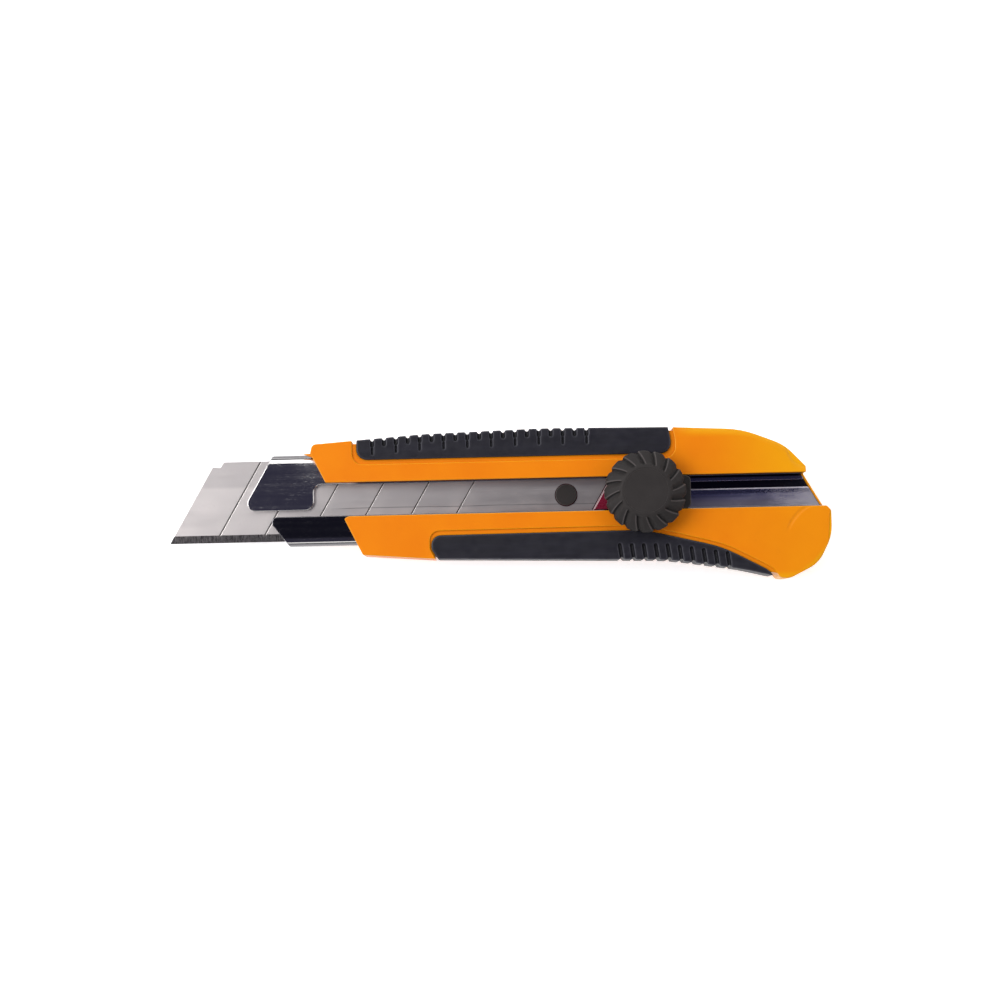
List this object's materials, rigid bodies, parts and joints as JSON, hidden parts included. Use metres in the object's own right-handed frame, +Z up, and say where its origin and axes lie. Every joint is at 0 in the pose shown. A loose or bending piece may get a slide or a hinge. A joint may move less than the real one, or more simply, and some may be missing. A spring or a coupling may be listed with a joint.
{
  "type": "utility knife",
  "caption": "Heavy-duty snap-off utility knife: scored blade in a folded steel channel, moulded handle with rubber grips, and a screw knob that locks the slider.",
  "frame": {"origin": "on the back cover's flat face, under the middle of the handle, on the centre line of the blade channel", "axes": "+X from the blade's tip to the heel of the handle, +Y towards the spine of the blade, +Z up out of the face with the knob"},
  "size_m": [0.2039, 0.0478, 0.026],
  "materials": {
    "orange_abs": "orange ABS, moulded in a satin tool",
    "grip_rubber": "near-black thermoplastic rubber, matt",
    "channel_steel": "folded stainless sheet, bright polished with light rub marks",
    "blade_steel": "hardened carbon steel strip, ground bevel",
    "slider_plastic": "crimson acetal",
    "knob_plastic": "dark warm grey nylon, spark-eroded texture",
    "zinc_steel": "bright zinc plated steel",
    "spring_steel": "oiled spring steel",
    "nylon": "natural nylon",
    "brass": "turned and knurled brass"
  },
  "bodies": {
    "handle": {"handle_body": "orange_abs", "back_cover": "orange_abs", "cover_screws": "zinc_steel", "upper_grip": "grip_rubber", "lower_grip": "grip_rubber", "blade_channel": "channel_steel", "channel_rivets": "zinc_steel"},
    "slider": {"slider": "slider_plastic", "blade": "blade_steel", "blade_stud": "knob_plastic", "leaf_spring": "spring_steel", "clamp_bolt": "zinc_steel", "retaining_clip": "spring_steel"},
    "clamp_plate": {"clamp_plate": "knob_plastic", "wave_washer": "spring_steel", "thrust_washer": "nylon"},
    "knob": {"knob": "knob_plastic", "threaded_insert": "brass", "knob_cap": "knob_plastic"}
  },
  "joints": [
    {"name": "blade_slide", "type": "slide", "parent": "handle", "child": "slider", "axis": [-1, 0, 0], "range_m": [-0.035, 0.064]},
    {"name": "plate_lift", "type": "slide", "parent": "slider", "child": "clamp_plate", "axis": [0, 0, 1], "range_m": [0, 0.00102]},
    {"name": "knob_turn", "type": "hinge", "parent": "clamp_plate", "child": "knob", "pos_m": [0.0226, 0, 0.0175], "axis": [0, 0, 1], "range_deg": [0, 360]}
  ],
  "couplings": [
    {"joint": "plate_lift", "follows": "knob_turn", "m_per_rad": 0.00015915}
  ]
}
